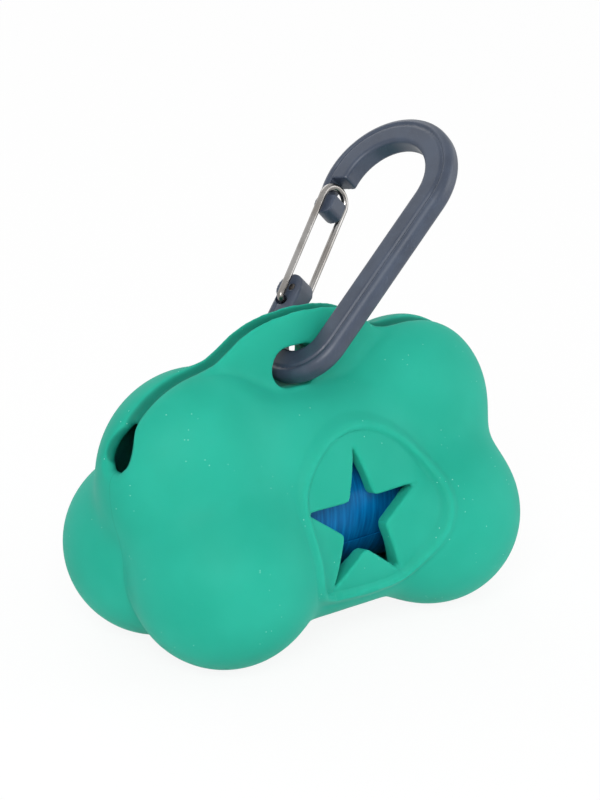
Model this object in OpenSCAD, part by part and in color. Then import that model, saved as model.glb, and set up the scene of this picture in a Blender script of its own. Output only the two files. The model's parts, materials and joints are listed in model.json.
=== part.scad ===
// Silicone pouch in the shape of a lobed bone that holds one roll of bags,
// with a star window to pull the bags through and a snap clip through its hang tab.
// X runs along the roll, Y from the star side to the back, Z up. The pouch stands on its four lower lobes.

/* [Pouch] */
// Sideways place of the lower lobe centres
lobe_x = 26.6; // [25:0.2:28]
// Front and back place of the lower lobe centres
lobe_y = 10.4; // [9:0.2:12]
// Radius of the lower lobes
lobe_r = 18.4; // [17:0.2:20]
// Sideways place of the upper lobe centres
crown_x = 26.4; // [25:0.2:28]
// Height of the upper lobe centres
crown_z = 37; // [35:0.5:39]
// Half length of an upper lobe
crown_rx = 20; // [18:0.5:21]
// Half depth of an upper lobe
crown_ry = 15.8; // [14:0.2:18]
// Half height of an upper lobe
crown_rz = 19.6; // [18:0.2:21]
// Half length of the belly between the lobes
belly_rx = 22; // [20:0.5:26]
// Half depth of the belly
belly_ry = 20.6; // [19:0.2:22]
// Half height of the belly
belly_rz = 21.8; // [20:0.2:23]
// Height of the belly's centre
belly_z = 26.4; // [25:0.2:28]
// How much the belly narrows towards its top
belly_taper = 0.2; // [0.1:0.05:0.3]
// Softness of the blends between the lobes
blend = 2.5; // [1.5:0.1:3]
// Wall of the pouch
wall = 2.6; // [1.8:0.1:3.2]
// Depth of the small flats that the lower lobes stand on
stand_flat = 0.2; // [0.1:0.05:0.4]

/* [Tab] */
// Sideways place of the tab
tab_x = -2; // [-3:0.5:3]
// Half width of the hang tab
tab_rx = 20.8; // [18:0.2:23]
// Half thickness of the hang tab
tab_ry = 3.9; // [3.4:0.1:4.4]
// Half height of the hang tab
tab_rz = 14.6; // [13:0.2:16]
// Height of the tab's centre
tab_z = 50.4; // [49:0.2:52]
// Sideways place of the clip hole
hole_x = -4; // [-5:0.5:4]
// Height of the clip hole between the lips
hole_z = 53; // [51:0.2:56]
// Radius of the clip hole's round ends
hole_r = 4; // [4:0.1:4.6]
// Distance between the centres of its round ends
hole_slot = 3.8; // [3.4:0.1:4.2]
// Rise of the hole from the lips to the tab's faces, along the bend of the clip
hole_rise = 14; // [12:1:16]

/* [Mouth] */
// Angle of the mouth's ends down from the top
mouth_angle = 73.5; // [68:0.5:76]
// Gap between the closed lips at the top of the tab
lip_gap = 0.8; // [0.6:0.1:1.2]
// Radius of the lips' rounded edge
lip_r = 2; // [1:0.1:2.2]
// Half width of the teardrop holes that end the mouth
drop_w = 2.2; // [1.8:0.1:3]
// Length of the teardrop holes
drop_len = 8; // [7:0.5:11]

/* [Star window] */
// Radius to the star's points
star_r = 14.8; // [11:0.2:15.6]
// Radius to the star's inner corners
star_inner_r = 5.5; // [4.4:0.1:6.5]
// Height of the star's centre
star_z = 26; // [24:0.5:28]
// Lean of the star's plane
star_lean = 10; // [6:1:14]
// Width of the raised frame round the star
frame_w = 2.8; // [2:0.1:3.4]
// Height of the raised frame above the wall
frame_h = 1.1; // [0.7:0.1:1.3]

/* [Clip] */
// Lean of the clip from upright
clip_lean = 45; // [20:1:55]
// Width of the clip's bar, across the loop
bar_w = 6; // [5.4:0.1:6.4]
// Thickness of the clip's bar
bar_t = 4.4; // [4:0.1:4.8]
// Bend radius of the bar's middle line at the tab
low_bend = 7.7; // [7.5:0.1:8.4]
// Bend radius of the bar's middle line at the top
top_bend = 12.4; // [11.4:0.1:13.4]
// Straight length of the spine
spine_len = 34.8; // [30:0.2:40]
// Length of the straight arm that carries the gate
arm_len = 9; // [7:0.5:10]
// Slope of that arm and of the gate against the spine
arm_angle = 12; // [8:1:14]
// Sweep of the top bend
nose_sweep = 206; // [200:1:210]

/* [Gate] */
// Diameter of the gate's wire
wire_d = 1.4; // [1.1:0.1:1.6]
// Running clearance round the wire in its holes
wire_play = 0.05; // [0.03:0.01:0.09]

/* [Bag roll] */
// Length of the roll of bags
roll_len = 58; // [50:1:60]
// Diameter of the roll of bags
roll_d = 32; // [26:0.5:32.5]
// Outer diameter of the cardboard core
core_d = 15; // [12:0.5:18]
// Wall of the cardboard core
core_wall = 0.8; // [0.5:0.1:1.2]

/* [Hidden] */

// Centre that the pouch's wall is drawn from
core = [0, 0, 28];
// Sectors round the mouth, an even number
sectors = 80;
// Steps between the rings near the lips, as a share of their distance, and the largest step below
outer_step = 0.28;
outer_step_max = 0.12;
inner_step = 0.5;
inner_step_max = 0.3;
first_ring = 0.012;
first_inner_ring = 0.048;
last_ring = 3.7;
// Sharpness of the blends, and the rounding that keeps the middle planes smooth
sharpness = 1 / blend;
crease_x = 1;
crease_y = 0.8;
belly_power = 3;
tab_power = 2.5;
tiny = 0.000001;
// Farthest point that the wall can reach from its centre, and halvings that find it
reach_max = 60;
halvings = 15;
// Half the mouth's length and the lip gap on the drawing plane of the directions
mouth_half = tan(mouth_angle / 2);
tab_top = tab_z + tab_rz;
lip_start = lip_gap / 2 / (2 * mouth_half * (tab_top - core.z));
// Size on that plane of a millimetre at the mouth's end, and how far the teardrops run past it
plane_mm = (1 + mouth_half * mouth_half) / (2 * (crown_x + crown_rx));
drop_peak = 4 / (3 * sqrt(3));
drop_past = pow(drop_w / drop_peak, 2) / drop_len;

// Smooth fold of a coordinate about zero
function fold(value, softness) = sqrt(value * value + softness * softness);

// Distance of a point to a ball
function to_ball(p, c, r) = norm(p - c) - r;

// Distance along its own ray of a point to a rounded block with half sizes r
function to_egg(p, r, power) =
    let (d = norm(p) + tiny)
    let (s = pow(abs(p.x / r.x), power) + pow(abs(p.y / r.y), power) + pow(abs(p.z / r.z), power))
    d - d / pow(s + tiny, 1 / power);

// Blended distance: below zero inside
function smooth_min(list) = -ln(sum_of([for (d = list) exp(-sharpness * d)])) / sharpness;
function sum_of(list, i = 0) = i == len(list) ? 0 : list[i] + sum_of(list, i + 1);

// Distances to the lobes and the belly, without the tab
function body_parts(p) =
    let (x = fold(p.x, crease_x))
    let (y = fold(p.y, crease_y))
    let (squeeze = exp(belly_taper * (p.z - belly_z) / belly_rz))
    [
        to_ball([x, y, p.z], [lobe_x, lobe_y, lobe_r - stand_flat], lobe_r),
        to_egg([x - crown_x, p.y, p.z - crown_z], [crown_rx, crown_ry, crown_rz], 2),
        to_egg([p.x, p.y * squeeze, p.z - belly_z], [belly_rx, belly_ry, belly_rz], belly_power)
    ];
function to_body(p) = smooth_min(body_parts(p));
function tab_part(p) = to_egg([p.x - tab_x, p.y, p.z - tab_z], [tab_rx, tab_ry, tab_rz], tab_power);
function to_pouch(p) = smooth_min(concat(body_parts(p), [tab_part(p)]));

// Length along a ray from the core to the outside and to the cavity's wall, found by halving
function outer_reach(d, low = 0, high = reach_max, left = halvings) =
    let (mid = (low + high) / 2)
    left == 0 ? mid
    : to_pouch(core + mid * d) < 0 ? outer_reach(d, mid, high, left - 1)
    : outer_reach(d, low, mid, left - 1);
function inner_reach(d, low = 0, high = reach_max, left = halvings) =
    let (mid = (low + high) / 2)
    left == 0 ? mid
    : to_body(core + mid * d) < -wall ? inner_reach(d, mid, high, left - 1)
    : inner_reach(d, low, mid, left - 1);
// Place of the front wall below a point of the middle plane
function front_y(x, z, depth = 0, low = 0, high = reach_max, left = halvings) =
    let (mid = (low + high) / 2)
    left == 0 ? -mid
    : to_body([x, -mid, z]) < -depth ? front_y(x, z, depth, mid, high, left - 1)
    : front_y(x, z, depth, low, mid, left - 1);

// Rings are ellipses round the mouth on the drawing plane: m is the ring and a the angle round it
function cosh(m) = (exp(m) + exp(-m)) / 2;
function sinh(m) = (exp(m) - exp(-m)) / 2;
function plane_point(m, a) = [mouth_half * cosh(m) * cos(a), mouth_half * sinh(m) * sin(a)];
function direction(q) = [2 * q.x, 2 * q.y, 1 - q * q] / (1 + q * q);
// Angle from the nearer end of the mouth, in radians
function from_end(a) = asin(abs(sin(a))) * PI / 180;
function end_hole(a) =
    let (share = pow(from_end(a), 2) * mouth_half / (2 * drop_len * plane_mm))
    share < 1 ? 2 * drop_past * plane_mm / mouth_half * pow(1 - share, 2) : 0;
function mouth_edge(a) = sqrt(lip_start * lip_start + end_hole(a));
function ring_at(g, a) = sqrt(g * g + pow(mouth_edge(a), 2));
function to_mouth(q) = abs(q.x) < mouth_half ? abs(q.y) : norm([abs(q.x) - mouth_half, q.y]);
// How far a rounded edge falls back at a distance from it
function edge_drop(s) = s < lip_r ? lip_r - sqrt(lip_r * lip_r - pow(lip_r - s, 2)) : 0;

function next_rings(g, step, step_max) =
    g >= last_ring ? [last_ring] : concat([g], next_rings(g + min(g * step, step_max), step, step_max));
outer_rings = concat([0], next_rings(first_ring, outer_step, outer_step_max));
inner_rings = concat([0], next_rings(first_inner_ring, inner_step, inner_step_max));

function outer_point(g, a) =
    let (q = plane_point(ring_at(g, a), a))
    let (d = direction(q))
    let (r = outer_reach(d))
    let (start = to_mouth(plane_point(mouth_edge(a), a)))
    let (s = (to_mouth(q) - start) * 2 * r / (1 + q * q))
    core + (r - edge_drop(s)) * d;
function inner_point(g, a) =
    let (d = direction(plane_point(ring_at(g, a), a)))
    core + inner_reach(d) * d;

// The back half of a ring is worked out and the front half is its mirror image
function whole_ring(half) = [
    for (i = [0 : sectors - 1])
        i <= sectors / 2 ? half[i] : [half[sectors - i].x, -half[sectors - i].y, half[sectors - i].z]
];
function half_angles() = [for (i = [0 : sectors / 2]) i * 360 / sectors];

// Triangles between two rings of points that start at first and second
function band(first, second) = [
    for (i = [0 : sectors - 1])
        let (j = (i + 1) % sectors)
        each i < sectors / 2
            ? [[first + i, first + j, second + j], [first + i, second + j, second + i]]
            : [[first + i, first + j, second + i], [first + j, second + j, second + i]]
];
function fan(ring, tip) = [for (i = [0 : sectors - 1]) [ring + i, ring + (i + 1) % sectors, tip]];
function turned(faces) = [for (f = faces) [f[2], f[1], f[0]]];

module pouch_shell() {
    outer = [for (g = outer_rings) each whole_ring([for (a = half_angles()) outer_point(g, a)])];
    inner = [for (g = inner_rings) each whole_ring([for (a = half_angles()) inner_point(g, a)])];
    floor_points = [core - [0, 0, outer_reach([0, 0, -1])], core - [0, 0, inner_reach([0, 0, -1])]];
    outer_count = len(outer_rings);
    inner_count = len(inner_rings);
    inner_start = outer_count * sectors;
    floor_start = inner_start + inner_count * sectors;
    lining = [
        for (k = [0 : inner_count - 2])
            each band(inner_start + k * sectors, inner_start + (k + 1) * sectors)
    ];
    polyhedron(
        points = concat(outer, inner, floor_points),
        faces = concat(
            [for (k = [0 : outer_count - 2]) each band(k * sectors, (k + 1) * sectors)],
            fan((outer_count - 1) * sectors, floor_start),
            turned(lining),
            turned(fan(inner_start + (inner_count - 1) * sectors, floor_start + 1)),
            turned(band(0, inner_start))
        )
    );
}

module pouch() {
    color([0.2, 0.72, 0.62])
        difference() {
            union() {
                pouch_shell();
                star_frame();
            }
            clip_hole();
            star_hole();
            ground();
        }
}

// Everything below the lobes' small flats
module ground() {
    translate([-reach_max, -reach_max, -reach_max])
        cube([2 * reach_max, 2 * reach_max, reach_max]);
}

// Round-ended hole through both halves of the tab, rising to either face as the clip's bend does
module clip_hole() {
    past_middle = hole_r * tan(hole_rise);
    for (turn = [0, 180])
        translate([hole_x, 0, hole_z])
            rotate([90 - hole_rise, 0, turn])
                translate([0, 0, -past_middle])
                    linear_extrude(height = past_middle + 4 * tab_ry) {
                        for (side = [-1, 1])
                            translate([side * hole_slot / 2, 0])
                                circle(r = hole_r, $fn = 64);
                        square([hole_slot, 2 * hole_r], center = true);
                    }
}

star_tips = 5;
star_points = [
    for (i = [0 : 2 * star_tips - 1])
        let (r = i % 2 == 0 ? star_r : star_inner_r)
        r * [sin(i * 180 / star_tips), cos(i * 180 / star_tips)]
];
star_depth = 4 * wall;

module star_hole() {
    translate([0, front_y(0, star_z), star_z])
        rotate([90 - star_lean, 0, 0])
            linear_extrude(height = 2 * star_depth, center = true)
                polygon(star_points);
}

// Raised frame round the star: a ring that widens at its two lower corners and follows the wall
frame_sides = 8;
frame_rings = 60;
frame_up = 2;
frame_corner = 1.8;
frame_corner_at = -55;
frame_corner_spread = 16;
frame_corners = [frame_corner_at, 180 - frame_corner_at, -180 - frame_corner_at];
frame_grow = 2.2;
function corner_bulge(a, corner) = frame_corner * exp(-pow((a - corner) / frame_corner_spread, 2));
function frame_radius(a) =
    star_r + frame_grow + sum_of([for (corner = frame_corners) corner_bulge(a, corner)]);
function frame_place(a, depth) =
    let (x = frame_radius(a) * cos(a))
    let (z = star_z + frame_up + frame_radius(a) * sin(a))
    [x, front_y(x, z, depth), z];
function unit(v) = v / norm(v);
// Outward direction of the wall, from its slope
slope_step = 0.2;
function wall_normal(p) = unit([
    to_body(p + [slope_step, 0, 0]) - to_body(p - [slope_step, 0, 0]),
    to_body(p + [0, slope_step, 0]) - to_body(p - [0, slope_step, 0]),
    to_body(p + [0, 0, slope_step]) - to_body(p - [0, 0, slope_step])
]);

module star_frame() {
    depth = frame_w / 2 - frame_h;
    middle = [for (i = [0 : frame_rings - 1]) frame_place(i * 360 / frame_rings - 180, depth)];
    points = [
        for (i = [0 : frame_rings - 1])
            let (along = unit(middle[(i + 1) % frame_rings] - middle[(i + frame_rings - 1) % frame_rings]))
            let (out = wall_normal(middle[i]))
            let (side = unit(cross(along, out)))
            for (k = [0 : frame_sides - 1])
                let (a = (k + 0.5) * 360 / frame_sides)
                middle[i] + frame_w / 2 * (cos(a) * side + sin(a) * out)
    ];
    faces = [
        for (i = [0 : frame_rings - 1])
            for (k = [0 : frame_sides - 1])
                let (here = i * frame_sides)
                let (next = (i + 1) % frame_rings * frame_sides)
                let (m = (k + 1) % frame_sides)
                each [[here + k, next + m, next + k], [here + k, here + m, next + m]]
    ];
    polyhedron(points = points, faces = faces);
}

// ---- Snap clip: a spine, two bends, a nose for the gate's loop and an arm that carries the gate ----
// The clip is drawn flat, across along X, length along Y, thickness along Z, with the middle of its bar
// in the tab's hole at the origin
seat_gap = 0.3;
low_centre = [0, low_bend, 0];
top_centre = [top_bend - low_bend, low_bend + spine_len, 0];
nose_w = 5;
bar_corner_r = 0.8;
rim_corner_r = 1.7;
groove_at = 1.1;
groove_w = 0.9;
groove_depth = 0.5;
facets = 64;
// Half the diagonal that the bar needs to turn in its hole
bar_reach = norm([bar_w / 2 - bar_corner_r, bar_t / 2 - bar_corner_r]) + bar_corner_r;
// The bar lies low in the middle of the hole, on the tab
clip_x = hole_x;
clip_z = hole_z - (hole_r - seat_gap - bar_reach);

module place_clip() {
    translate([clip_x, 0, clip_z])
        rotate([0, clip_lean, 0])
            rotate([90, 0, 90])
                children();
}

// Section of the bar, where X points out of the loop: a rounded outer rim, a groove and a flat flank
module bar_section() {
    difference() {
        union() {
            for (side = [-1, 1]) {
                translate([-bar_w / 2 + bar_corner_r, side * (bar_t / 2 - bar_corner_r)])
                    circle(r = bar_corner_r, $fn = facets);
                translate([bar_w / 2 - rim_corner_r, side * (bar_t / 2 - rim_corner_r)])
                    circle(r = rim_corner_r, $fn = facets);
            }
            translate([-bar_w / 2 + bar_corner_r, -bar_t / 2])
                square([bar_w - bar_corner_r - rim_corner_r, bar_t]);
            translate([-bar_w / 2, -bar_t / 2 + bar_corner_r])
                square([bar_corner_r * 2, bar_t - 2 * bar_corner_r]);
            translate([bar_w / 2 - rim_corner_r, -bar_t / 2 + rim_corner_r])
                square([rim_corner_r, bar_t - 2 * rim_corner_r]);
        }
        for (side = [-1, 1])
            polygon([
                [groove_at - groove_w / 2, side * (bar_t / 2 + tiny)],
                [groove_at, side * (bar_t / 2 - groove_depth)],
                [groove_at + groove_w / 2, side * (bar_t / 2 + tiny)]
            ]);
    }
}

module straight_bar(length) {
    translate([0, length, 0])
        rotate([90, 0, 0])
            linear_extrude(height = length)
                bar_section();
}

module bent_bar(radius, start, sweep) {
    rotate_extrude(angle = sweep, start = start, $fn = facets)
        translate([radius, 0])
            bar_section();
}

// ---- Wire gate: its upper foot turns in the arm and its loop closes on the nose ----
gate_gap = 0.3;
gate_open = 25;
leg_z = bar_t / 2 + gate_gap + wire_d / 2;
wire_hole_r = wire_d / 2 + wire_play;
// The lower foot's place from the pivot: out of the loop, and down the arm
leg_shift = 1;
foot_step = 3;
foot_depth = 1.6;
foot_inner_r = 0.2;
foot_bend = wire_d / 2 + foot_inner_r;
// The drawn legs are a hair thinner than the bends, and run this far into them
leg_ease = 0.02;
leg_in = 0.1;
// The pivot sits this far to the inside of the arm's middle line
pivot_in = 0.7;
function turned_xy(v, a) = [v.x * cos(a) - v.y * sin(a), v.x * sin(a) + v.y * cos(a), 0];
pivot = low_centre + turned_xy([low_bend - pivot_in, arm_len], -arm_angle);
// The loop crosses the nose here
loop_sweep = 200;
loop_out = -0.9;
loop_place = top_centre + turned_xy([-top_bend - loop_out, 0], -loop_sweep);
gate_line = loop_place - pivot;
gate_angle = atan2(gate_line.x, gate_line.y);
loop_r = norm([leg_shift / 2, leg_z]);
leg_len = norm(gate_line) - loop_r;

module place_gate() {
    translate(pivot)
        rotate([0, 0, -gate_angle])
            children();
}

module wire_gate() {
    color([0.75, 0.75, 0.74])
        place_clip()
            place_gate() {
                // The far foot goes through the arm, the near foot ends in it
                leg_and_foot(leg_len, leg_z + bar_t / 2);
                translate([leg_shift, -foot_step, 0])
                    mirror([0, 0, 1])
                        leg_and_foot(leg_len + foot_step, leg_z - bar_t / 2 + foot_depth);
                // Loop over the nose
                translate([leg_shift / 2, leg_len, 0])
                    rotate([0, atan2(2 * leg_z, leg_shift), 0])
                        rotate_extrude(angle = 180, $fn = facets)
                            translate([loop_r, 0])
                                circle(d = wire_d, $fn = facets);
            }
}

// A leg along Y on the far side, bent at its start into a foot towards the near side
module leg_and_foot(leg_length, foot_length) {
    translate([0, foot_bend - leg_in, leg_z])
        rotate([-90, 0, 0])
            cylinder(d = wire_d - leg_ease, h = leg_length - foot_bend + 2 * leg_in, $fn = facets);
    translate([0, foot_bend, leg_z - foot_bend])
        rotate([90, 0, 90])
            rotate_extrude(angle = 90, start = 90, $fn = facets)
                translate([foot_bend, 0])
                    circle(d = wire_d, $fn = facets);
    translate([0, 0, leg_z - foot_length])
        cylinder(d = wire_d, h = foot_length - foot_bend, $fn = facets);
}

// Cut out for the gate: its pivot hole, the arc that its lower foot travels and the nose's notch
notch_low = 0.6;
notch_high = 0.7;
// The tongue below the notch is set back from the bar's inner side
tongue_in = 1.3;
module gate_cuts() {
    cylinder(r = wire_hole_r, h = 2 * bar_t, center = true, $fn = facets);
    foot_r = norm([leg_shift, foot_step]);
    foot_a = atan2(-foot_step, leg_shift);
    translate([0, 0, -bar_t / 2 - gate_gap])
        for (turn = [0, gate_open])
            rotate([0, 0, foot_a + turn])
                translate([foot_r, 0, 0])
                    cylinder(r = wire_hole_r + gate_gap, h = gate_gap * 2 + foot_depth, $fn = facets);
    translate([0, 0, -bar_t / 2 - gate_gap])
        rotate_extrude(angle = gate_open, start = foot_a, $fn = facets)
            translate([foot_r - wire_hole_r - gate_gap, 0])
                square([2 * (wire_hole_r + gate_gap), gate_gap * 2 + foot_depth]);
    notch_floor = leg_len + sqrt(pow(loop_r - wire_d / 2, 2) - pow(bar_t / 2, 2)) - notch_low;
    notch_top = leg_len + loop_r + wire_d / 2 + notch_high;
    translate([-bar_w, notch_floor, -bar_t])
        cube([bar_w + leg_shift + wire_d / 2, notch_top - notch_floor, 2 * bar_t]);
    translate([-bar_w - tongue_in, notch_floor - bar_w, -bar_t])
        cube([bar_w, notch_top - notch_floor + bar_w, 2 * bar_t]);
}

// The nose runs on past the bend, under the loop, and ends in a round tongue between the gate's legs
nose_len = 3;
module nose() {
    translate(top_centre)
        rotate([0, 0, 180 - nose_sweep])
            translate([top_bend, 0, 0]) {
                translate([0, -nose_len, 0])
                    straight_bar(nose_len);
                translate([(bar_w - nose_w) / 2, -nose_len, 0])
                    cylinder(d = nose_w, h = bar_t, center = true, $fn = facets);
            }
}

module arm() {
    translate(low_centre)
        rotate([0, 0, -arm_angle])
            translate([low_bend, 0, 0]) {
                straight_bar(arm_len);
                translate([0, arm_len, 0])
                    cylinder(d = bar_w, h = bar_t, center = true, $fn = facets);
            }
}

module clip_body() {
    color([0.3, 0.34, 0.4])
        place_clip()
            difference() {
                union() {
                    translate([-low_bend, low_bend, 0])
                        mirror([1, 0, 0])
                            straight_bar(spine_len);
                    translate(low_centre)
                        bent_bar(low_bend, 180, 180 - arm_angle);
                    translate(top_centre)
                        bent_bar(top_bend, 180 - nose_sweep, nose_sweep);
                    nose();
                    arm();
                }
                place_gate()
                    gate_cuts();
            }
}

// ---- Bag roll: film wound on a cardboard core, with the free end of the film as a step ----
roll_gap = 0.3;
roll_edge_r = 1.2;
film_t = 0.4;
film_turn = 70;
core_play = 0.05;
// The roll rests on the highest part of the cavity's floor
function floor_z(x, low = 0, high = core.z, left = halvings) =
    let (mid = (low + high) / 2)
    left == 0 ? mid
    : to_body([x, 0, mid]) < -wall ? floor_z(x, low, mid, left - 1)
    : floor_z(x, mid, high, left - 1);
floor_step = 2;
cavity_floor = max([for (x = [0 : floor_step : roll_len / 2]) floor_z(x)]);
roll_z = cavity_floor + roll_gap + film_t + roll_d / 2;

module place_roll() {
    translate([0, 0, roll_z])
        rotate([0, 90, 0])
            children();
}

module bag_roll() {
    color([0.05, 0.35, 0.65])
        place_roll() {
            rotate_extrude($fn = facets)
                roll_section();
            rotate_extrude(angle = film_turn, $fn = facets)
                translate([roll_d / 2 - film_t, -roll_len / 2 + roll_edge_r])
                    square([2 * film_t, roll_len - 2 * roll_edge_r]);
        }
}

// Half section of the roll, with the rounded edges of the wound film
module roll_section() {
    bore_r = core_d / 2 + core_play;
    translate([bore_r, -roll_len / 2])
        square([roll_d / 2 - roll_edge_r - bore_r, roll_len]);
    translate([bore_r, -roll_len / 2 + roll_edge_r])
        square([roll_d / 2 - bore_r, roll_len - 2 * roll_edge_r]);
    for (side = [-1, 1])
        translate([roll_d / 2 - roll_edge_r, side * (roll_len / 2 - roll_edge_r)])
            circle(r = roll_edge_r, $fn = facets);
}

module roll_core() {
    color([0.75, 0.62, 0.45])
        place_roll()
            difference() {
                cylinder(d = core_d, h = roll_len, center = true, $fn = facets);
                cylinder(d = core_d - 2 * core_wall, h = 2 * roll_len, center = true, $fn = facets);
            }
}

pouch();
clip_body();
wire_gate();
bag_roll();
roll_core();
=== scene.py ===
"""A lobed silicone pouch for a roll of dog waste bags, with its snap clip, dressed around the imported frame.

The wire gate keeps its fixed shape and gets a finish. The pouch and the clip's body are softened copies of
their fixed solids, and the roll of film and its core are modelled in the places of theirs. Sizes are in
millimetres and meshes in metres.
"""
import json
import logging
import math
from dataclasses import dataclass
from enum import Enum

import bpy
import numpy as np
from mathutils import Euler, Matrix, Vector

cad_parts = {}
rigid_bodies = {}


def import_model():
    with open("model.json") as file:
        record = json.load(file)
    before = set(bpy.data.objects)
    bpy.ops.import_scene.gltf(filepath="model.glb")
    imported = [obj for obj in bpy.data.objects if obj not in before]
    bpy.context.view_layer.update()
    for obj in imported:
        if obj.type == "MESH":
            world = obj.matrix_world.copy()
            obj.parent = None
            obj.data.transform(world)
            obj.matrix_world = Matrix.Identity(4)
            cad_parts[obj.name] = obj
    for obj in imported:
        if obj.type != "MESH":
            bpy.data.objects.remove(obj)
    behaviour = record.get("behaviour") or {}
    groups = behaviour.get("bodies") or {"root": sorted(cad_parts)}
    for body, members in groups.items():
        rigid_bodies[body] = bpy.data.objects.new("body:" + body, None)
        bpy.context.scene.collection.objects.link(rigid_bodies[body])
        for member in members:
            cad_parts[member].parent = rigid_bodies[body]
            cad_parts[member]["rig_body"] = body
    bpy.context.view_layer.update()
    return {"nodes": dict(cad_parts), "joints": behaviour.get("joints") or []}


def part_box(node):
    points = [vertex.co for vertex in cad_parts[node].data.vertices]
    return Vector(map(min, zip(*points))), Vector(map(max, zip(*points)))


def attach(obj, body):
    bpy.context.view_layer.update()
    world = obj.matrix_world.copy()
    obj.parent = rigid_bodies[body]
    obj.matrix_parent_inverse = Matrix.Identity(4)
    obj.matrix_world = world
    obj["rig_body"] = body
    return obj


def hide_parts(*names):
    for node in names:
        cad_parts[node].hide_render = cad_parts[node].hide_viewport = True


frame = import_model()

LOG = logging.getLogger("dispenser")
MM = 0.001
# Point attribute that holds the strength of the painted shade in the pouch's slit
SLIT_SHADE = "slit_shade_share"
# A Mix node's two colour inputs and its colour output
MIX_A, MIX_B, MIX_RESULT = 6, 7, 2


class Slot(Enum):
    """The record's material slots."""

    SILICONE = "silicone"
    CLIP = "clip_plastic"
    WIRE = "steel_wire"
    FILM = "bag_film"
    CARD = "core_card"


class Body(Enum):
    """The frame's moving bodies."""

    POUCH = "pouch"
    CLIP = "clip"
    GATE = "gate"
    ROLL = "roll"


# ---- Colours and nodes ----


def linear(code: str) -> tuple[float, float, float, float]:
    """Turn an sRGB hex colour into a linear one.

    Args:
        code: The colour as "#RRGGBB".

    Returns:
        Linear red, green, blue and an alpha of one.
    """
    shares = [int(code[i : i + 2], 16) / 255 for i in (1, 3, 5)]
    values = [s / 12.92 if s <= 0.04045 else ((s + 0.055) / 1.055) ** 2.4 for s in shares]
    return (values[0], values[1], values[2], 1.0)


def scale_of(size_mm: float) -> float:
    """Return the texture scale that gives a pattern's detail a size in millimetres."""
    return 1 / (size_mm * MM)


def add_node(
    tree: bpy.types.NodeTree,
    kind: str,
    links: dict | None = None,
    stops: tuple[tuple[float, str], ...] = (),
    **settings: object,
) -> bpy.types.Node:
    """Add one shader node with its settings, its links and its colour stops.

    Args:
        tree: The node tree that gets the node.
        kind: The node's type name, without "ShaderNode".
        links: Input name or number to a value, or to the output socket that feeds it.
        stops: A ramp's places from 0 to 1 with their hex colours.
        **settings: The node's own properties.

    Returns:
        The new node.
    """
    node = tree.nodes.new("ShaderNode" + kind)
    for name, value in settings.items():
        setattr(node, name, value)
    for name, value in (links or {}).items():
        if isinstance(value, bpy.types.NodeSocket):
            tree.links.new(value, node.inputs[name])
        else:
            node.inputs[name].default_value = value
    for number, (place, code) in enumerate(stops):
        elements = node.color_ramp.elements
        element = elements[number] if number < len(elements) else elements.new(place)
        element.position, element.color = place, linear(code)
    return node


def any_ray(tree: bpy.types.NodeTree, *rays: str) -> bpy.types.NodeSocket:
    """Add the nodes that tell which rays see a surface.

    Args:
        tree: The node tree that gets them.
        *rays: Names of the Light Path outputs that count.

    Returns:
        A socket that is 1 for those rays and 0 for others.
    """
    path = add_node(tree, "LightPath")
    seen = path.outputs[rays[0]]
    for ray in rays[1:]:
        seen = add_node(tree, "Math", {0: seen, 1: path.outputs[ray]}, operation="MAXIMUM").outputs[0]
    return seen


def new_material(
    name: str,
) -> tuple[bpy.types.Material, bpy.types.NodeTree, bpy.types.Node, bpy.types.NodeSocket]:
    """Start a material with its main shader.

    Args:
        name: The material's name.

    Returns:
        The material, its node tree, the main shader and the Object coordinates.
    """
    material = bpy.data.materials.new(name)
    material.use_nodes = True
    tree = material.node_tree
    shader = next(n for n in tree.nodes if n.type == "BSDF_PRINCIPLED")
    place = add_node(tree, "TexCoord").outputs["Object"]
    return material, tree, shader, place


def set_shader(
    tree: bpy.types.NodeTree,
    shader: bpy.types.Node,
    colour: bpy.types.NodeSocket,
    height: bpy.types.NodeSocket,
    bump: tuple[float, float],
    **values: object,
) -> None:
    """Give a main shader its colour, its bump and its constants.

    Args:
        tree: The material's node tree.
        shader: The main shader.
        colour: The socket with the base colour.
        height: The socket with the surface's height.
        bump: Strength of the bump, and its height in millimetres.
        **values: Its constants, each named as the socket is, with _ for a space.
    """
    raised = add_node(tree, "Bump", {"Height": height, "Strength": bump[0], "Distance": bump[1] * MM})
    tree.links.new(colour, shader.inputs["Base Color"])
    tree.links.new(raised.outputs[0], shader.inputs["Normal"])
    for name, value in values.items():
        shader.inputs[name.replace("_", " ")].default_value = value


# ---- Finishes ----


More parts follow.
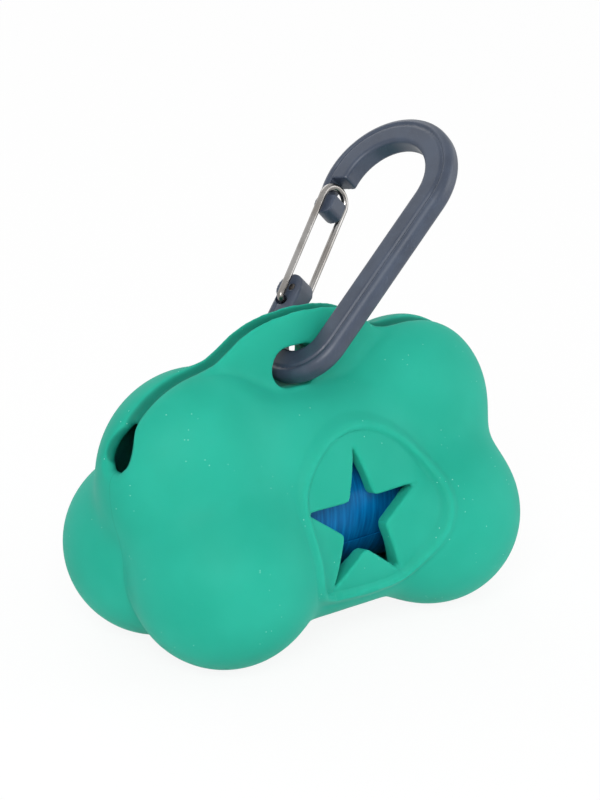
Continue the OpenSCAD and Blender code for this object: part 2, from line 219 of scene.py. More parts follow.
@dataclass(frozen=True)
class MouldedSilicone:
    """Soft silicone rubber from a blasted steel mould: matte, faintly translucent, with dust on it."""

    colour: str = "#28AA93"
    shade: str = "#20A18A"
    # Painted shade: the darker colour that the slit's walls are given
    slit: str = "#0A6A5A"
    dust: str = "#8AD8C8"
    line: str = "#1F8F7A"
    roughness: float = 0.58
    ior: float = 1.41
    shine: float = 0.15
    depth_share: float = 0.4
    depth_mm: float = 4.0
    grain_mm: float = 0.25
    bump: tuple[float, float] = (0.25, 0.03)
    cloud_mm: float = 22.0
    speck_mm: float = 1.1
    speck_size: float = 0.09
    speck_patch: float = 6.0
    speck_least: float = 0.6
    line_half_mm: float = 0.09
    line_bend_mm: float = 9.0
    line_wander_mm: float = 0.25
    line_tone: float = 0.55
    line_high: float = 0.8

    def build(self) -> bpy.types.Material:
        """Make the material with its clouds, dust specks, blasted grain, the mould's parting line and painted
        shade in the slit.

        Returns:
            The finished material.
        """
        material, tree, shader, place = new_material("moulded_silicone")
        clouds = add_node(
            tree, "TexNoise", {"Vector": place, "Scale": scale_of(self.cloud_mm), "Detail": 3.0}
        )
        tones = ((0.35, self.shade), (0.65, self.colour))
        base = add_node(tree, "ValToRGB", {"Fac": clouds.outputs["Fac"]}, tones).outputs["Color"]
        specks = add_node(tree, "TexVoronoi", {"Vector": place, "Scale": scale_of(self.speck_mm)})
        patch = scale_of(self.speck_patch * self.speck_mm)
        few = add_node(tree, "TexNoise", {"Vector": place, "Scale": patch, "Detail": 2.0})
        near = add_node(
            tree, "Math", {0: specks.outputs["Distance"], 1: self.speck_size}, operation="LESS_THAN"
        )
        some = add_node(tree, "Math", {0: few.outputs["Fac"], 1: self.speck_least}, operation="GREATER_THAN")
        dust = add_node(tree, "Math", {0: near.outputs[0], 1: some.outputs[0]}, operation="MULTIPLY")
        dusty = add_node(
            tree, "Mix", {"Factor": dust.outputs[0], MIX_A: base, MIX_B: linear(self.dust)}, data_type="RGBA"
        ).outputs[MIX_RESULT]
        # The two halves of the mould meet on the plane between front and back
        axes = add_node(tree, "SeparateXYZ", {"Vector": place})
        bend = add_node(
            tree, "TexNoise", {"Vector": place, "Scale": scale_of(self.line_bend_mm), "Detail": 1.0}
        )
        wander = self.line_wander_mm * MM
        aside = add_node(
            tree, "MapRange", {"Value": bend.outputs["Fac"], "To Min": -wander, "To Max": wander}
        )
        offset = add_node(tree, "Math", {0: axes.outputs["Y"], 1: aside.outputs[0]}, operation="ADD")
        away = add_node(tree, "Math", {0: offset.outputs[0]}, operation="ABSOLUTE")
        reach = {"From Min": 0.0, "From Max": 2 * self.line_half_mm * MM, "To Min": 1.0, "To Max": 0.0}
        reach["Value"] = away.outputs[0]
        seam = add_node(tree, "MapRange", reach, interpolation_type="SMOOTHSTEP").outputs[0]
        faint = add_node(tree, "Math", {0: seam, 1: self.line_tone}, operation="MULTIPLY")
        lined = add_node(
            tree,
            "Mix",
            {"Factor": faint.outputs[0], MIX_A: dusty, MIX_B: linear(self.line)},
            data_type="RGBA",
        ).outputs[MIX_RESULT]
        # Painted shade: the lips keep the light out of the slit, so its walls are given a darker colour
        scuffs_and_slit_shade = add_node(tree, "Attribute", attribute_name=SLIT_SHADE).outputs["Fac"]
        colour = add_node(
            tree, "Mix", {"Factor": scuffs_and_slit_shade, MIX_A: lined, MIX_B: linear(self.slit)}, data_type="RGBA"
        ).outputs[MIX_RESULT]
        grain = add_node(tree, "TexNoise", {"Vector": place, "Scale": scale_of(self.grain_mm), "Detail": 2.0})
        ridge = add_node(tree, "Math", {0: seam, 1: self.line_high}, operation="MULTIPLY")
        height = add_node(tree, "Math", {0: grain.outputs["Fac"], 1: ridge.outputs[0]}, operation="ADD")
        set_shader(
            tree,
            shader,
            colour,
            height.outputs[0],
            self.bump,
            Roughness=self.roughness,
            IOR=self.ior,
            Specular_IOR_Level=self.shine,
            Subsurface_Weight=self.depth_share,
            Subsurface_Radius=(0.35, 1.0, 0.8),
            Subsurface_Scale=self.depth_mm * MM,
        )
        return material


@dataclass(frozen=True)
class MouldedNylon:
    """Glass-filled nylon as moulded: dark blue-grey, satin, with faint flow marks and fine scuffs."""

    colour: str = "#3C4657"
    shade: str = "#343D4D"
    scuff: str = "#667083"
    roughness: float = 0.4
    ior: float = 1.53
    shine: float = 0.4
    flow_mm: float = 5.0
    scuff_mm: float = 1.5
    scuff_tone: float = 0.35
    grain_mm: float = 0.35
    bump: tuple[float, float] = (0.25, 0.02)

    def build(self) -> bpy.types.Material:
        """Make the material with its flow marks, scuffs and grain.

        Returns:
            The finished material.
        """
        material, tree, shader, place = new_material("moulded_nylon")
        flow = add_node(tree, "TexNoise", {"Vector": place, "Scale": scale_of(self.flow_mm), "Detail": 4.0})
        tones = ((0.35, self.shade), (0.65, self.colour))
        base = add_node(tree, "ValToRGB", {"Fac": flow.outputs["Fac"]}, tones).outputs["Color"]
        # The scuffs run along the leaning spine
        lean = {"Vector": place, "Rotation": (0.0, math.radians(45), 0.0), "Scale": (6.0, 6.0, 0.8)}
        along = add_node(tree, "Mapping", lean).outputs[0]
        lines = add_node(tree, "TexNoise", {"Vector": along, "Scale": scale_of(self.scuff_mm), "Detail": 6.0})
        spread = {"From Min": 0.6, "From Max": 0.8, "To Min": 0.0, "To Max": self.scuff_tone}
        scuffs_and_slit_shade = add_node(tree, "MapRange", {"Value": lines.outputs["Fac"], **spread})
        colour = add_node(
            tree, "Mix", {"Factor": scuffs_and_slit_shade.outputs[0], MIX_A: base, MIX_B: linear(self.scuff)}, data_type="RGBA"
        ).outputs[MIX_RESULT]
        dull, bright = self.roughness + 0.08, self.roughness - 0.06
        spread = {"From Min": 0.3, "From Max": 0.7, "To Min": bright, "To Max": dull}
        rough = add_node(tree, "MapRange", {"Value": flow.outputs["Fac"], **spread})
        tree.links.new(rough.outputs[0], shader.inputs["Roughness"])
        grain = add_node(tree, "TexNoise", {"Vector": place, "Scale": scale_of(self.grain_mm), "Detail": 3.0})
        height = grain.outputs["Fac"]
        set_shader(tree, shader, colour, height, self.bump, IOR=self.ior, Specular_IOR_Level=self.shine)
        return material


@dataclass(frozen=True)
class DrawnSteel:
    """Hard-drawn stainless spring wire, bright, with faint drawing lines and tarnish."""

    colour: str = "#9C9A98"
    tarnish: str = "#85817D"
    roughness: float = 0.2
    mottle_mm: float = 6.0
    scratch_mm: float = 0.3
    bump: tuple[float, float] = (0.03, 0.003)

    def build(self) -> bpy.types.Material:
        """Make the material with its mottled tarnish and fine scratches.

        Returns:
            The finished material.
        """
        material, tree, shader, place = new_material("drawn_steel")
        mottle = add_node(
            tree, "TexNoise", {"Vector": place, "Scale": scale_of(self.mottle_mm), "Detail": 4.0}
        )
        tones = ((0.35, self.tarnish), (0.6, self.colour))
        colour = add_node(tree, "ValToRGB", {"Fac": mottle.outputs["Fac"]}, tones).outputs["Color"]
        spread = {"From Min": 0.3, "From Max": 0.7, "To Min": self.roughness + 0.1, "To Max": self.roughness}
        rough = add_node(tree, "MapRange", {"Value": mottle.outputs["Fac"], **spread})
        tree.links.new(rough.outputs[0], shader.inputs["Roughness"])
        fine = add_node(
            tree, "TexNoise", {"Vector": place, "Scale": scale_of(self.scratch_mm), "Detail": 4.0}
        )
        height = fine.outputs["Fac"]
        set_shader(tree, shader, colour, height, self.bump, Metallic=1.0)
        return material


@dataclass(frozen=True)
class WoundFilm:
    """Thin polyethylene film, wound tight: deep blue, slightly glossy, with fine streaks round the roll."""

    colour: str = "#006AA8"
    deep: str = "#00548C"
    streak: str = "#1086C0"
    roughness: float = 0.42
    ior: float = 1.51
    shine: float = 0.12
    streak_mm: float = 0.7
    layer_mm: float = 0.5
    crease_mm: float = 4.0
    crease_share: float = 0.35
    bump: tuple[float, float] = (0.3, 0.05)

    def build(self) -> bpy.types.Material:
        """Make the material with its tension streaks, layers and creases.

        Returns:
            The finished material.
        """
        material, tree, shader, place = new_material("wound_film")
        around = add_node(tree, "Mapping", {"Vector": place, "Scale": (1.0, 0.08, 0.08)}).outputs[0]
        streaks = add_node(
            tree, "TexNoise", {"Vector": around, "Scale": scale_of(self.streak_mm), "Detail": 5.0}
        )
        tones = ((0.3, self.deep), (0.55, self.colour), (0.85, self.streak))
        colour = add_node(tree, "ValToRGB", {"Fac": streaks.outputs["Fac"]}, tones).outputs["Color"]
        layers = add_node(
            tree, "TexNoise", {"Vector": around, "Scale": scale_of(self.layer_mm), "Detail": 3.0}
        )
        creases = add_node(
            tree,
            "TexNoise",
            {"Vector": place, "Scale": scale_of(self.crease_mm), "Detail": 4.0, "Distortion": 0.4},
        )
        weak = add_node(tree, "Math", {0: creases.outputs["Fac"], 1: self.crease_share}, operation="MULTIPLY")
        height = add_node(tree, "Math", {0: layers.outputs["Fac"], 1: weak.outputs[0]}, operation="ADD")
        set_shader(
            tree,
            shader,
            colour,
            height.outputs[0],
            self.bump,
            Roughness=self.roughness,
            IOR=self.ior,
            Specular_IOR_Level=self.shine,
        )
        return material


@dataclass(frozen=True)
class SpiralCard:
    """Spiral-wound kraft card tube: brown, matte, fibrous, with the strip's butt seam going round."""

    colour: str = "#B79C78"
    fibre: str = "#9A7F5C"
    seam: str = "#7D6546"
    roughness: float = 0.85
    fibre_mm: float = 0.7
    bump: tuple[float, float] = (0.5, 0.05)
    strip_mm: float = 24.0
    seam_share: float = 0.02

    def build(self) -> bpy.types.Material:
        """Make the material with its fibres and spiral seam.

        Returns:
            The finished material.
        """
        material, tree, shader, place = new_material("spiral_card")
        fibres = add_node(
            tree,
            "TexNoise",
            {"Vector": place, "Scale": scale_of(self.fibre_mm), "Detail": 6.0, "Distortion": 1.2},
        )
        tones = ((0.35, self.fibre), (0.65, self.colour))
        base = add_node(tree, "ValToRGB", {"Fac": fibres.outputs["Fac"]}, tones).outputs["Color"]
        axes = add_node(tree, "SeparateXYZ", {"Vector": place})
        turn = add_node(tree, "Math", {0: axes.outputs["Y"], 1: axes.outputs["Z"]}, operation="ARCTAN2")
        share = add_node(tree, "Math", {0: turn.outputs[0], 1: math.tau}, operation="DIVIDE")
        along = add_node(tree, "Math", {0: axes.outputs["X"], 1: self.strip_mm * MM}, operation="DIVIDE")
        both = add_node(tree, "Math", {0: share.outputs[0], 1: along.outputs[0]}, operation="ADD")
        part = add_node(tree, "Math", {0: both.outputs[0], 1: 1.0}, operation="FLOORED_MODULO")
        seam = add_node(tree, "Math", {0: part.outputs[0], 1: self.seam_share}, operation="LESS_THAN")
        colour = add_node(
            tree, "Mix", {"Factor": seam.outputs[0], MIX_A: base, MIX_B: linear(self.seam)}, data_type="RGBA"
        ).outputs[MIX_RESULT]
        height = fibres.outputs["Fac"]
        set_shader(tree, shader, colour, height, self.bump, Roughness=self.roughness)
        return material


# ---- Modelling steps ----


def select_alone(piece: bpy.types.Object) -> None:
    """Deselect everything, then select one piece and make it active.

    Args:
        piece: The piece.
    """
    bpy.ops.object.select_all(action="DESELECT")
    piece.select_set(True)
    bpy.context.view_layer.objects.active = piece


def apply_modifier(piece: bpy.types.Object, kind: str, **settings: object) -> None:
    """Add a modifier to a piece and apply it.

    Args:
        piece: The piece, a mesh.
        kind: The modifier's type.
        **settings: The modifier's properties.
    """
    select_alone(piece)
    modifier = piece.modifiers.new(kind.lower(), kind)
    for name, value in settings.items():
        setattr(modifier, name, value)
    bpy.ops.object.modifier_apply(modifier=modifier.name)


def clay_copy(node: str, name: str, voxel: float) -> bpy.types.Object:
    """Copy a fixed node's mesh into a new piece with small even faces, which can be softened like clay.

    Args:
        node: The node's name.
        name: The new piece's name.
        voxel: Size of its faces in millimetres.

    Returns:
        The new piece, with no parent.
    """
    piece = bpy.data.objects.new(name, frame["nodes"][node].data.copy())
    bpy.context.scene.collection.objects.link(piece)
    piece.data.materials.clear()
    select_alone(piece)
    bpy.ops.object.mode_set(mode="EDIT")
    bpy.ops.mesh.select_all(action="SELECT")
    bpy.ops.mesh.remove_doubles(threshold=0.001 * MM)
    bpy.ops.object.mode_set(mode="OBJECT")
    apply_modifier(piece, "REMESH", mode="VOXEL", voxel_size=voxel * MM, use_smooth_shade=True)
    return piece


def points_of(piece: bpy.types.Object) -> np.ndarray:
    """Read a piece's points.

    Args:
        piece: The piece, a mesh.

    Returns:
        Its points in millimetres, one row each.
    """
    flat = np.zeros(len(piece.data.vertices) * 3)
    piece.data.vertices.foreach_get("co", flat)
    return flat.reshape(-1, 3) / MM


def set_points(piece: bpy.types.Object, points: np.ndarray) -> None:
    """Put a piece's points at new places, given in millimetres."""
    piece.data.vertices.foreach_set("co", (points * MM).ravel())
    piece.data.update()


def smooth_share(values: np.ndarray, low: float, high: float) -> np.ndarray:
    """Rise smoothly from zero at a low value to one at a high value."""
    share = np.clip((values - low) / (high - low), 0, 1)
    return share * share * (3 - 2 * share)


def soften_where(piece: bpy.types.Object, weights: np.ndarray, rounds: int) -> None:
    """Round a piece's edges, as far as each point's weight from 0 to 1 allows.

    Args:
        piece: The piece, a mesh.
        weights: One weight for each point.
        rounds: Number of smoothing rounds.
    """
    group = piece.vertex_groups.new(name="soft")
    steps = 10
    levels = np.round(weights * steps).astype(int)
    for level in range(1, steps + 1):
        group.add(np.flatnonzero(levels == level).tolist(), level / steps, "REPLACE")
    apply_modifier(piece, "SMOOTH", factor=0.5, iterations=rounds, vertex_group=group.name)
    piece.vertex_groups.clear()


def thin_faces(piece: bpy.types.Object, chosen: np.ndarray, keep: float) -> None:
    """Thin out the faces whose points are all chosen.

    Args:
        piece: The piece, a mesh.
        chosen: One truth value for each point.
        keep: Share of those faces that stays.
    """
    select_alone(piece)
    bpy.ops.object.mode_set(mode="EDIT")
    bpy.ops.mesh.select_mode(type="FACE")
    bpy.ops.mesh.select_all(action="DESELECT")
    bpy.ops.object.mode_set(mode="OBJECT")
    faces = piece.data.polygons
    picked = np.array([all(chosen[v] for v in face.vertices) for face in faces])
    faces.foreach_set("select", picked)
    bpy.ops.object.mode_set(mode="EDIT")
    bpy.ops.mesh.decimate(ratio=keep)
    bpy.ops.object.mode_set(mode="OBJECT")


def shade_smoothly(piece: bpy.types.Object, up_to: float | None = None) -> None:
    """Shade a piece as smooth.

    Args:
        piece: The piece, a mesh.
        up_to: Angle between faces, in degrees, past which an edge stays sharp.
    """
    select_alone(piece)
    if up_to is None:
        bpy.ops.object.shade_smooth()
    else:
        bpy.ops.object.shade_smooth_by_angle(angle=math.radians(up_to))


def finish_piece(piece: bpy.types.Object, material: bpy.types.Material, body: Body) -> None:
    """Give a piece its finish and say which body it moves with.

    Args:
        piece: The piece.
        material: Its only material.
        body: The body that carries it.
    """
    piece.data.materials.clear()
    piece.data.materials.append(material)
    if "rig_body" not in piece:
        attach(piece, body.value)
    LOG.info("%s: %d faces, rides on %s", piece.name, len(piece.data.polygons), body.value)


# ---- Pouch ----


@dataclass(frozen=True)
class PouchForm:
    """The pouch's blended skin, with the sizes that its solid was drawn from, in millimetres.

    Points are rows of x, y and z, and every distance is below zero inside the shape or opening.
    """

    lobe: tuple[float, float, float] = (26.6, 10.4, 18.2)
    lobe_r: float = 18.4
    crown: tuple[float, float, float] = (26.4, 0.0, 37.0)
    crown_half: tuple[float, float, float] = (20.0, 15.8, 19.6)
    crown_power: float = 2.0
    belly_half: tuple[float, float, float] = (22.0, 20.6, 22.7)
    belly_z: float = 26.4
    belly_taper: float = 0.2
    belly_taper_h: float = 21.8
    belly_power: float = 3.0
    tab: tuple[float, float, float] = (-2.0, 0.0, 50.4)
    tab_half: tuple[float, float, float] = (20.8, 3.9, 14.6)
    tab_power: float = 2.5
    blend: float = 2.5
    tab_blend: float = 1.3
    crease: tuple[float, float] = (1.0, 0.8)
    wall: float = 2.6
    core_z: float = 28.0
    mouth_half: float = math.tan(math.radians(36.75))
    mouth_reach: float = 46.4
    drop_w: float = 2.2
    drop_len: float = 8.0
    hole: tuple[float, float] = (-4.0, 53.0)
    hole_r: float = 4.0
    hole_slot: float = 3.8
    hole_rise: float = 14.0
    star_y: float = -20.72
    star_z: float = 26.0
    star_r: float = 14.8
    star_inner_r: float = 5.5
    star_lean: float = 10.0
    star_tips: int = 5
    star_corner: float = 0.3
    frame_out: float = 16.0
    frame_side: float = 0.9
    frame_up: float = 1.8
    frame_h: float = 1.0
    # Each corner of the frame: its angle, how far it stands out, and how wide it is in degrees
    frame_corners: tuple[tuple[float, float, float], ...] = (
        (-135.0, 2.7, 21.0),
        (-62.0, 1.0, 14.0),
        (8.0, 1.5, 26.0),
    )
    frame_in_w: float = 1.4
    frame_out_w: float = 2.3
    edge: float = 0.45
    probe: float = 0.05

    @staticmethod
    def to_egg(points: np.ndarray, half: tuple[float, float, float], power: float) -> np.ndarray:
        """Distance along its own ray of each point to a rounded block.

        Args:
            points: The points, from the block's centre.
            half: The block's half sizes.
            power: How square the block is, 2 being round.

        Returns:
            One distance for each point.
        """
        length = np.linalg.norm(points, axis=1) + 1e-6
        total = (np.abs(points / np.array(half)) ** power).sum(axis=1) + 1e-6
        return length - length / total ** (1 / power)

    @staticmethod
    def blended(parts: list[np.ndarray], width: float) -> np.ndarray:
        """Join shapes with a soft crease, given each one's distances and the crease's width."""
        return -width * np.log(sum(np.exp(-part / width) for part in parts))

    def skin(self, points: np.ndarray) -> np.ndarray:
        """Distance of each point to the pouch's outside.

        Args:
            points: The points.

        Returns:
            One distance for each point.
        """
        x = np.hypot(points[:, 0], self.crease[0])
        y = np.hypot(points[:, 1], self.crease[1])
        z = points[:, 2]
        squeeze = np.exp(self.belly_taper * (z - self.belly_z) / self.belly_taper_h)
        lobes = np.linalg.norm(np.stack([x, y, z], 1) - np.array(self.lobe), axis=1) - self.lobe_r
        crown = np.stack([x - self.crown[0], points[:, 1], z - self.crown[2]], 1)
        belly = np.stack([points[:, 0], points[:, 1] * squeeze, z - self.belly_z], 1)
        crown = self.to_egg(crown, self.crown_half, self.crown_power)
        belly = self.to_egg(belly, self.belly_half, self.belly_power)
        body = self.blended([lobes, crown, belly], self.blend)
        # The tab meets the lobes in a tighter crease than they meet each other
        tab = self.to_egg(points - np.array(self.tab), self.tab_half, self.tab_power)
        return self.blended([body, tab], self.tab_blend)

    def from_frame(self, points: np.ndarray) -> np.ndarray:
        """Distance of each point to the middle line of the star's raised frame, seen from the front.

        Args:
            points: The points.

        Returns:
            One distance for each point.
        """
        x = points[:, 0] - self.frame_side
        z = points[:, 2] - self.star_z - self.frame_up
        angle = np.degrees(np.arctan2(z, x))
        bulge = sum(
            rise * np.exp(-((((angle - corner + 180) % 360 - 180) / spread) ** 2))
            for corner, rise, spread in self.frame_corners
        )
        return np.hypot(x, z) - self.frame_out - bulge

    def ridge(self, points: np.ndarray) -> np.ndarray:
        """Height of the star's raised frame above the skin at each point.

        Args:
            points: The points.

        Returns:
            One height for each point.
        """
        away = self.from_frame(points)
        width = np.where(away < 0, self.frame_in_w, self.frame_out_w)
        rise = self.frame_h * np.cos(np.clip(away / width, -1, 1) * math.pi / 2) ** 2
        return np.where(points[:, 1] < 0, rise, 0.0)

    def from_star(self, points: np.ndarray) -> np.ndarray:
        """Distance of each point to the star's walls.

        Args:
            points: The points.

        Returns:
            One distance for each point.
        """
        lean = math.radians(self.star_lean)
        side = points[:, 0]
        up = (points[:, 1] - self.star_y) * math.sin(lean) + (points[:, 2] - self.star_z) * math.cos(lean)
        half = math.pi / self.star_tips
        turn = (np.arctan2(side, up) + half) % (2 * half) - half
        out = np.hypot(side, up)
        spot = np.stack([out * np.cos(turn), out * np.abs(np.sin(turn))], 1)
        tip = np.array([self.star_r, 0.0])
        corner = self.star_inner_r * np.array([math.cos(half), math.sin(half)])
        edge = corner - tip
        share = np.clip((spot - tip) @ edge / (edge @ edge), 0, 1)
        away = np.linalg.norm(spot - tip - share[:, None] * edge, axis=1)
        beyond = edge[0] * (spot[:, 1] - tip[1]) - edge[1] * (spot[:, 0] - tip[0])
        near = np.linalg.norm(spot - corner, axis=1) / (2 * self.star_corner)
        distance = np.where(beyond < 0, away, -away) - self.star_corner * np.exp(-(near**2))
        return np.where(points[:, 1] < 0, distance, self.star_r)

    def from_hole(self, points: np.ndarray) -> np.ndarray:
        """Distance of each point to the wall of the clip's hole.

        Args:
            points: The points.

        Returns:
            One distance for each point.
        """
        rise = math.radians(self.hole_rise)
        side = np.maximum(np.abs(points[:, 0] - self.hole[0]) - self.hole_slot / 2, 0)
        up = (points[:, 2] - self.hole[1]) * math.cos(rise) - np.abs(points[:, 1]) * math.sin(rise)
        return np.hypot(side, up) - self.hole_r

    def from_mouth(self, points: np.ndarray) -> np.ndarray:
        """Distance of each point from the mouth's edge, measured along the skin.

        Args:
            points: The points.

        Returns:
            One distance for each point.
        """
        ray = points - np.array([0.0, 0.0, self.core_z])
        reach = np.linalg.norm(ray, axis=1)
        flat = np.abs(ray[:, :2]) / (reach + ray[:, 2])[:, None]
        scale = 2 / (1 + (flat**2).sum(axis=1))
        past = np.maximum(flat[:, 0] - self.mouth_half, 0)
        share = np.clip((self.mouth_half - flat[:, 0]) * scale * self.mouth_reach / self.drop_len, 0, 1)
        # The teardrop's curve peaks at 2 / (3 √3), so this makes it drop_w at its widest
        drop = self.drop_w * np.sqrt(share) * (1 - share) * 3 * math.sqrt(3) / 2
        return np.hypot(past, flat[:, 1]) * scale * reach - drop

    def height(self, points: np.ndarray) -> np.ndarray:
        """Distance of each point to the finished outside: skin, raised frame, star and hole with soft edges.

        Args:
            points: The points.

        Returns:
            One distance for each point.
        """
        total = self.skin(points) - self.ridge(points)
        for opening in (self.from_star(points), self.from_hole(points)):
            soft = np.maximum(self.edge - np.abs(total + opening), 0)
            total = np.maximum(total, -opening) + soft**2 / (4 * self.edge)
        return total

    def slope(self, points: np.ndarray) -> np.ndarray:
        """Direction in which the height grows fastest at each point, as long as it grows fast."""
        rises = [self.height(points + m) - self.height(points - m) for m in np.eye(3) * self.probe]
        return np.stack([rise / (2 * self.probe) for rise in rises], 1)


@dataclass
class Pouch:
    """The silicone pouch, one moulding: its solid as clay, softened and then drawn back to its skin."""

    form: PouchForm = PouchForm()
    voxel: float = 0.42
    quick_voxel: float = 0.7
    soften: int = 4
    draws: int = 4
    snap: float = 0.9
    let_go: float = 1.4
    least_slope: float = 0.25
    frame_reach: float = 5.0
    frame_snap: float = 1.9
    hidden_keep: float = 0.1
    hidden_below: float = 0.6
    mouth_half_y: float = 6.0
    mouth_low_z: float = 30.0
    plain_keep: float = 0.2
    plain_above: float = 0.3
    plain_from_mouth: float = 5.0
    plain_from_hole: float = 3.0
    lip_clear: tuple[float, float] = (2.6, 3.8)
    lip_soften: int = 36
    lip_part: float = 0.35
    lip_part_from: float = 0.6
    # How far from the mouth's edge the painted shade in the slit fades out, and its strength
    slit_shade_reach: tuple[float, float] = (0.5, 1.5)
    slit_shade_share: float = 0.8

    def build(self) -> bpy.types.Object:
        """Model the pouch.

        Returns:
            The finished mesh, without its material.
        """
        piece = clay_copy("pouch", "silicone_pouch", self.voxel)
        apply_modifier(piece, "SMOOTH", factor=0.5, iterations=self.soften)
        self.draw_to_skin(piece)
        thin_faces(piece, self.hidden(points_of(piece)), self.hidden_keep)
        thin_faces(piece, self.plain(points_of(piece)), self.plain_keep)
        self.draw_to_skin(piece)
        away = self.form.from_mouth(points_of(piece))
        soften_where(piece, 1 - smooth_share(away, *self.lip_clear), self.lip_soften)
        points = points_of(piece)
        lips = 1 - smooth_share(away, self.lip_part_from, self.lip_clear[0])
        points[:, 1] += self.lip_part * np.sign(points[:, 1]) * lips
        set_points(piece, points)
        # Painted shade: the slit's walls are darkened, fading out from the mouth's edge
        share = self.slit_shade_share * (1 - smooth_share(away, *self.slit_shade_reach))
        piece.data.attributes.new(SLIT_SHADE, "FLOAT", "POINT").data.foreach_set("value", share)
        shade_smoothly(piece)
        return piece

    def hidden(self, points: np.ndarray) -> np.ndarray:
        """Choose the points on the inner wall, away from the star and the mouth.

        Args:
            points: The points.

        Returns:
            One truth value for each point.
        """
        near_star = (points[:, 1] < 0) & (self.form.from_frame(points) < 0)
        near_mouth = (np.abs(points[:, 1]) < self.mouth_half_y) & (points[:, 2] > self.mouth_low_z)
        inside = self.form.skin(points) < -self.hidden_below * self.form.wall
        return inside & ~near_star & ~near_mouth

    def plain(self, points: np.ndarray) -> np.ndarray:
        """Choose the points on the plain skin, away from the star's frame, the mouth and the hole.

        Args:
            points: The points.

        Returns:
            One truth value for each point.
        """
        near_frame = (points[:, 1] < 0) & (self.form.from_frame(points) < self.frame_reach)
        near_mouth = self.form.from_mouth(points) <= self.plain_from_mouth
        near_hole = self.form.from_hole(points) <= self.plain_from_hole
        outside = self.form.skin(points) > -self.plain_above * self.form.wall
        return outside & ~near_frame & ~near_mouth & ~near_hole

    def draw_to_skin(self, piece: bpy.types.Object) -> None:
        """Draw the points near the pouch's skin, star and hole onto them, so that no facet shows.

        Args:
            piece: The softened mesh.
        """
        points = points_of(piece)
        free = smooth_share(self.form.from_mouth(points), *self.lip_clear)
        on_frame = (np.abs(self.form.from_frame(points)) < self.frame_reach) & (points[:, 1] < 0)
        for _ in range(self.draws):
            height = self.form.height(points)
            slope = self.form.slope(points)
            weight = smooth_share(-np.abs(height), -self.let_go, -self.snap)
            weight = np.where(on_frame & (np.abs(height) < self.frame_snap), 1.0, weight) * free
            move = weight * height / np.maximum((slope**2).sum(axis=1), self.least_slope)
            points = points - move[:, None] * slope
        points[:, 2] = np.maximum(points[:, 2], 0)
        set_points(piece, points)


# ---- Snap clip ----


@dataclass
class SnapClip:
    """The snap clip's nylon body: its solid as clay, with the small soft edges that its mould leaves."""

    voxel: float = 0.2
    quick_voxel: float = 0.4
    soften: int = 3
    end_soften: int = 14
    nose_reach: tuple[float, float] = (4.5, 7.0)
    nose_below_loop: tuple[float, float, float] = (3.0, 5.3, 3.0)
    knob_above: tuple[float, float] = (0.4, 1.8)
    knob_reach: float = 6.0
    knob_clear: tuple[float, float] = (1.0, 1.7)
    wire_clear: tuple[float, float] = (1.3, 2.0)
    hole_r: float = 0.75
    hole_near: float = 0.2

    def build(self) -> bpy.types.Object:
        """Model the clip's body.

        Returns:
            The finished mesh, without its material.
        """
        piece = clay_copy("clip_body", "nylon_clip", self.voxel)
        points = points_of(piece)
        away, _ = self.from_wire(points)
        soften_where(piece, smooth_share(away, *self.wire_clear), self.soften)
        nose = np.array(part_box("wire_gate")[1]) / MM - np.array(self.nose_below_loop)
        reach = np.linalg.norm(points - nose, axis=1)
        soften_where(piece, 1 - smooth_share(reach, *self.nose_reach), self.end_soften)
        # The arm ends in a round knob just above the gate's upper foot
        points = points_of(piece)
        pivot, axis = self.pivot()
        above = (points - pivot) @ np.cross(axis, (0.0, 1.0, 0.0))
        near = np.linalg.norm(points - pivot, axis=1) < self.knob_reach
        away, _ = self.from_wire(points)
        knob = smooth_share(above, *self.knob_above) * near * smooth_share(away, *self.knob_clear)
        soften_where(piece, knob, self.end_soften)
        # The hole of that foot is made round again
        points = points_of(piece)
        away, out = self.from_wire(points)
        round_hole = np.abs(away - self.hole_r) < self.hole_near
        points[round_hole] += (out * (self.hole_r / away - 1)[:, None])[round_hole]
        set_points(piece, points)
        shade_smoothly(piece)
        return piece

    @staticmethod
    def pivot() -> tuple[np.ndarray, np.ndarray]:
        """Find the axis that the gate's upper foot turns on.

        Returns:
            A point on it in millimetres, and its direction.
        """
        joint = next(j for j in frame["joints"] if j["name"] == "gate_pivot")
        axis = np.array(joint["axis"])
        return np.array(joint["pos_m"]) / MM, axis / np.linalg.norm(axis)

    def from_wire(self, points: np.ndarray) -> tuple[np.ndarray, np.ndarray]:
        """Measure from the axis that the gate's upper foot turns on.

        Args:
            points: The points.

        Returns:
            Each point's distance from the axis, and its way out from there.
        """
        pivot, axis = self.pivot()
        ray = points - pivot
        out = ray - (ray @ axis)[:, None] * axis
        return np.linalg.norm(out, axis=1), out


# ---- Bag roll ----


